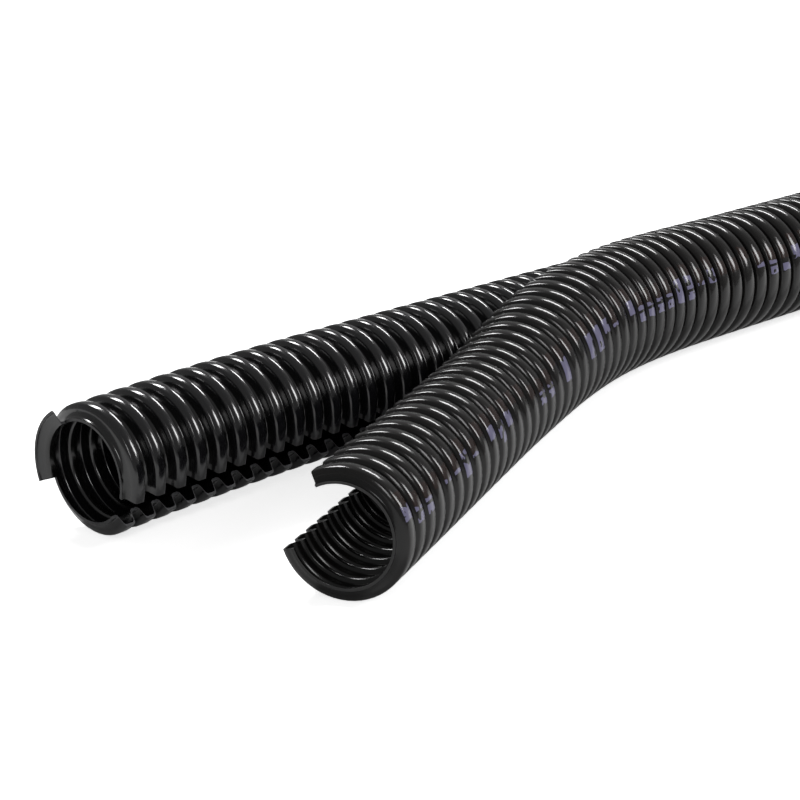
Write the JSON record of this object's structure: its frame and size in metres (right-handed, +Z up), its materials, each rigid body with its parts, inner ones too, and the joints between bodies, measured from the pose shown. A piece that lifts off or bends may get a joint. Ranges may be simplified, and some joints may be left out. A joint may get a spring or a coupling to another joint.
{
  "type": "two-part corrugated conduit",
  "caption": "Length of black two-part corrugated cable conduit: a slotted inner tube inside a larger slotted outer tube, peeled apart at one end.",
  "frame": {"origin": "centre of the whole part's footprint, on the floor it lies on", "axes": "+X along the assembled run, away from the peeled-apart end; +Z up"},
  "size_m": [0.9999, 0.089, 0.0329],
  "materials": {
    "inner_plastic": "smooth glossy black polyolefin, as extruded and vacuum-formed",
    "outer_plastic": "satin charcoal-black polyolefin with a faint sheen on the crests"
  },
  "bodies": {
    "root": {"inner_conduit": "inner_plastic", "outer_conduit": "outer_plastic"}
  },
  "joints": []
}
